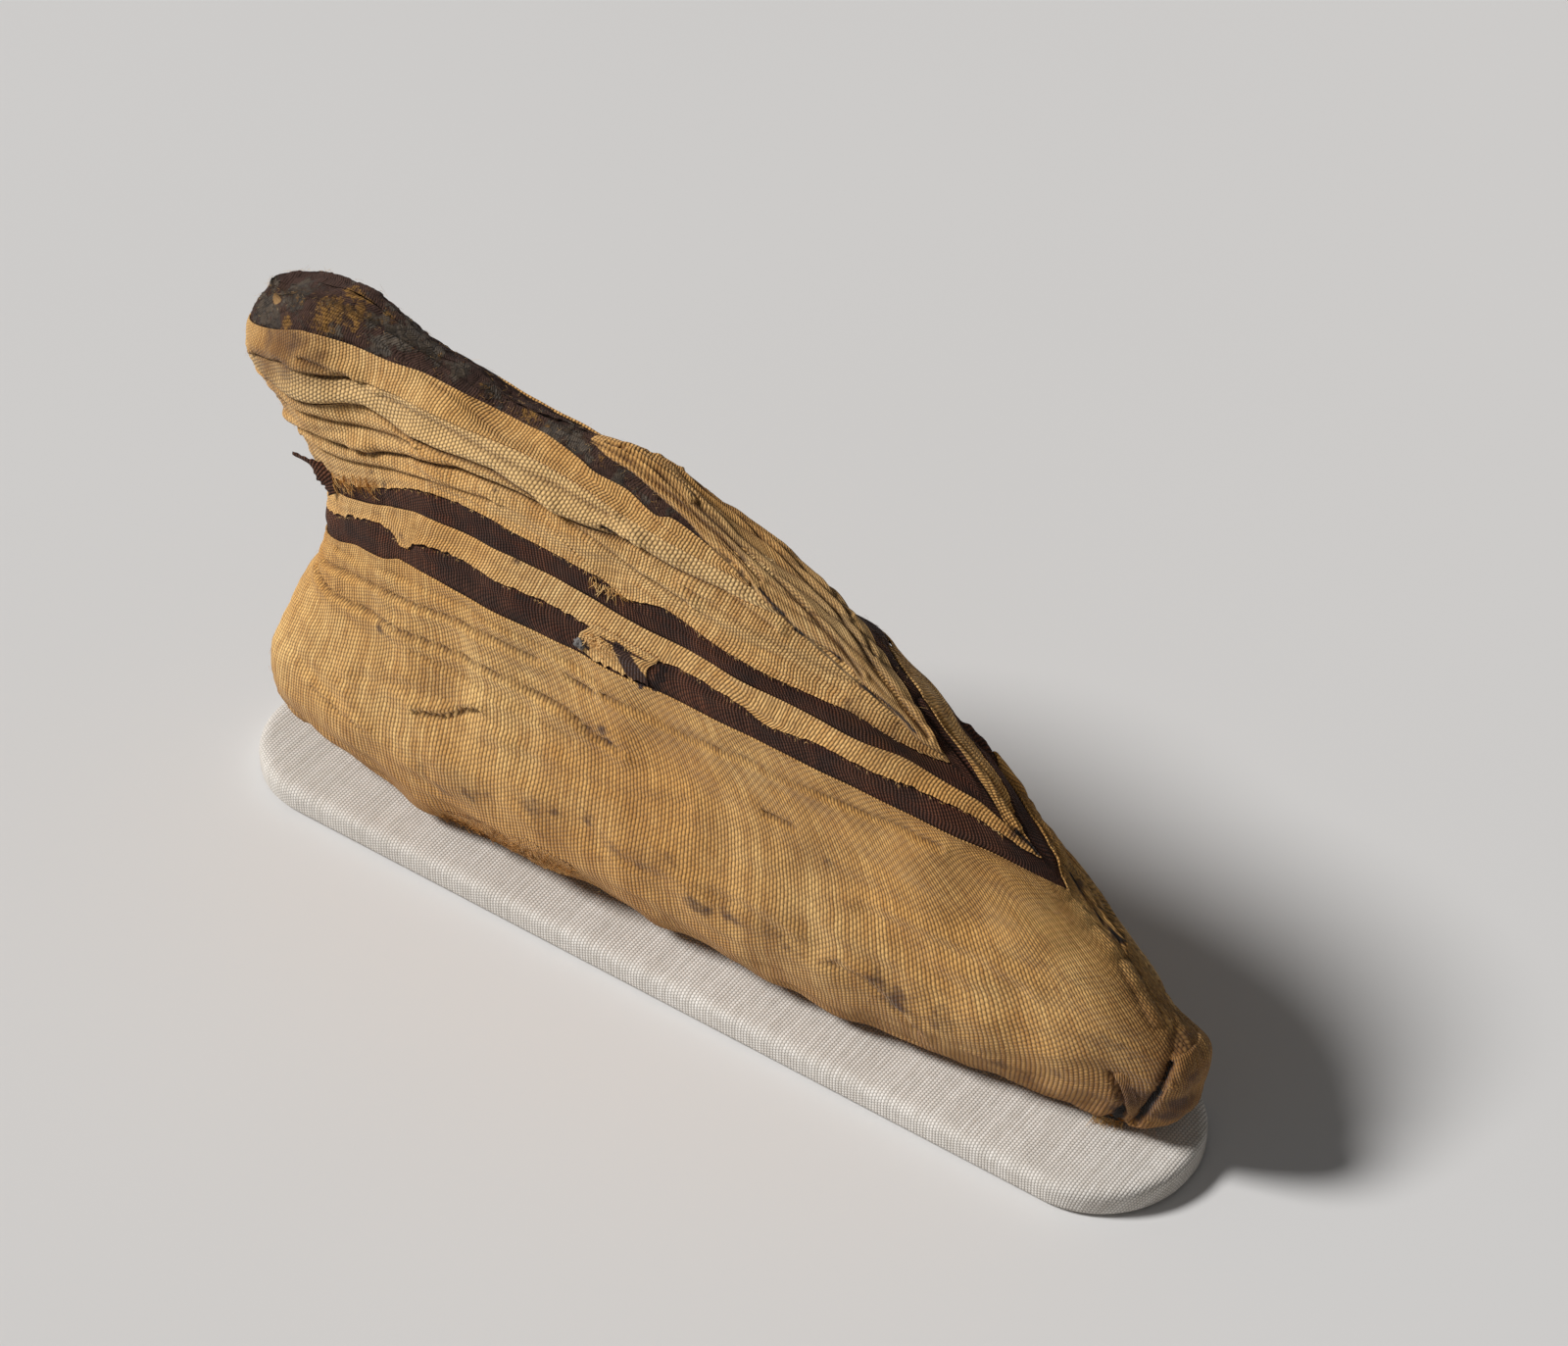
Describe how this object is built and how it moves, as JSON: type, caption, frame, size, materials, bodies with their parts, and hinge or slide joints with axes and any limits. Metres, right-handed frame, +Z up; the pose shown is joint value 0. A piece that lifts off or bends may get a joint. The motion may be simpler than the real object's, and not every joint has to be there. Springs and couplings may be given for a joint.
{
  "type": "egyptian animal mummy",
  "caption": "Bird mummy wrapped in tan linen with dark chevron strips and a resin-blackened head, lying on its narrow linen-covered display board.",
  "frame": {"origin": "middle of the display board's flat underside, on the underside lining", "axes": "+X along the board from the mummy's head end to its tail end, +Z up, -Y towards the side that shows both dark chevron strips"},
  "size_m": [0.3843, 0.0736, 0.2037],
  "materials": {
    "tan_linen": "coarse plain weave, aged",
    "pale_linen": "open plain weave, aged",
    "dark_linen": "dyed plain weave, worn",
    "resin_linen": "linen stiff with dark resin",
    "inner_linen": "wadded linen",
    "board_linen": "new plain weave",
    "board_core": "plain board",
    "board_padding": "felted wadding",
    "dried_flesh": "dried, dull",
    "bone": "dry, dull",
    "horn": "satin",
    "feather": "pressed feathers"
  },
  "bodies": {
    "root": {"underside_lining": "board_linen", "support_board": "board_core", "board_padding": "board_padding", "board_linen_cover": "board_linen", "lower_shroud": "tan_linen", "lower_dark_strip": "dark_linen", "lower_tan_strip": "tan_linen", "upper_dark_strip": "dark_linen", "pleated_band": "tan_linen", "open_weave_band": "pale_linen", "head_band": "tan_linen", "resin_shroud": "resin_linen", "frayed_hem": "tan_linen", "tail_fold": "tan_linen", "loose_strip_end": "dark_linen", "torso": "dried_flesh", "skull": "bone", "beak": "horn", "neck": "dried_flesh", "near_wing": "feather", "far_wing": "feather", "near_leg": "bone", "far_leg": "bone", "tail_feathers": "feather", "near_packing": "inner_linen", "far_packing": "inner_linen"}
  },
  "joints": []
}
